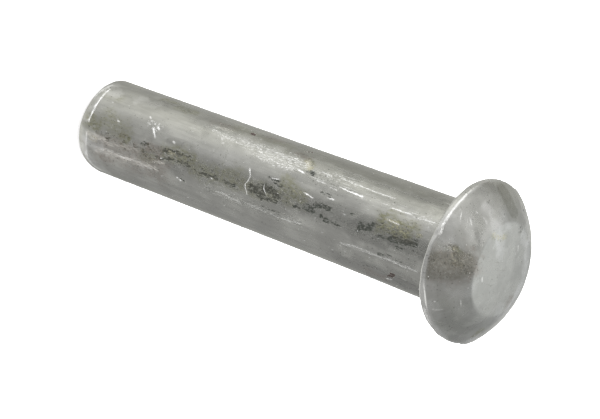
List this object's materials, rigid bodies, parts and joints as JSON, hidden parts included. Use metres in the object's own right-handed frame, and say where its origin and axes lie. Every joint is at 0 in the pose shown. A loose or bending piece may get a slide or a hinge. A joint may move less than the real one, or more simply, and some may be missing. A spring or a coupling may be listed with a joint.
{
  "type": "round head rivet",
  "caption": "Solid steel rivet with a low domed head and a plain round shank, standing on its rounded tail.",
  "frame": {"origin": "centre of the flat on the tail's end, on the surface the rivet stands on", "axes": "+Z along the shank from the tail to the head; the part is round about Z, so X and Y are free"},
  "size_m": [0.0126, 0.0126, 0.0431],
  "materials": {
    "steel": "dull bare steel with drawing streaks, oxide patches, small pits and specks of rust"
  },
  "bodies": {
    "root": {"rivet": "steel"}
  },
  "joints": []
}
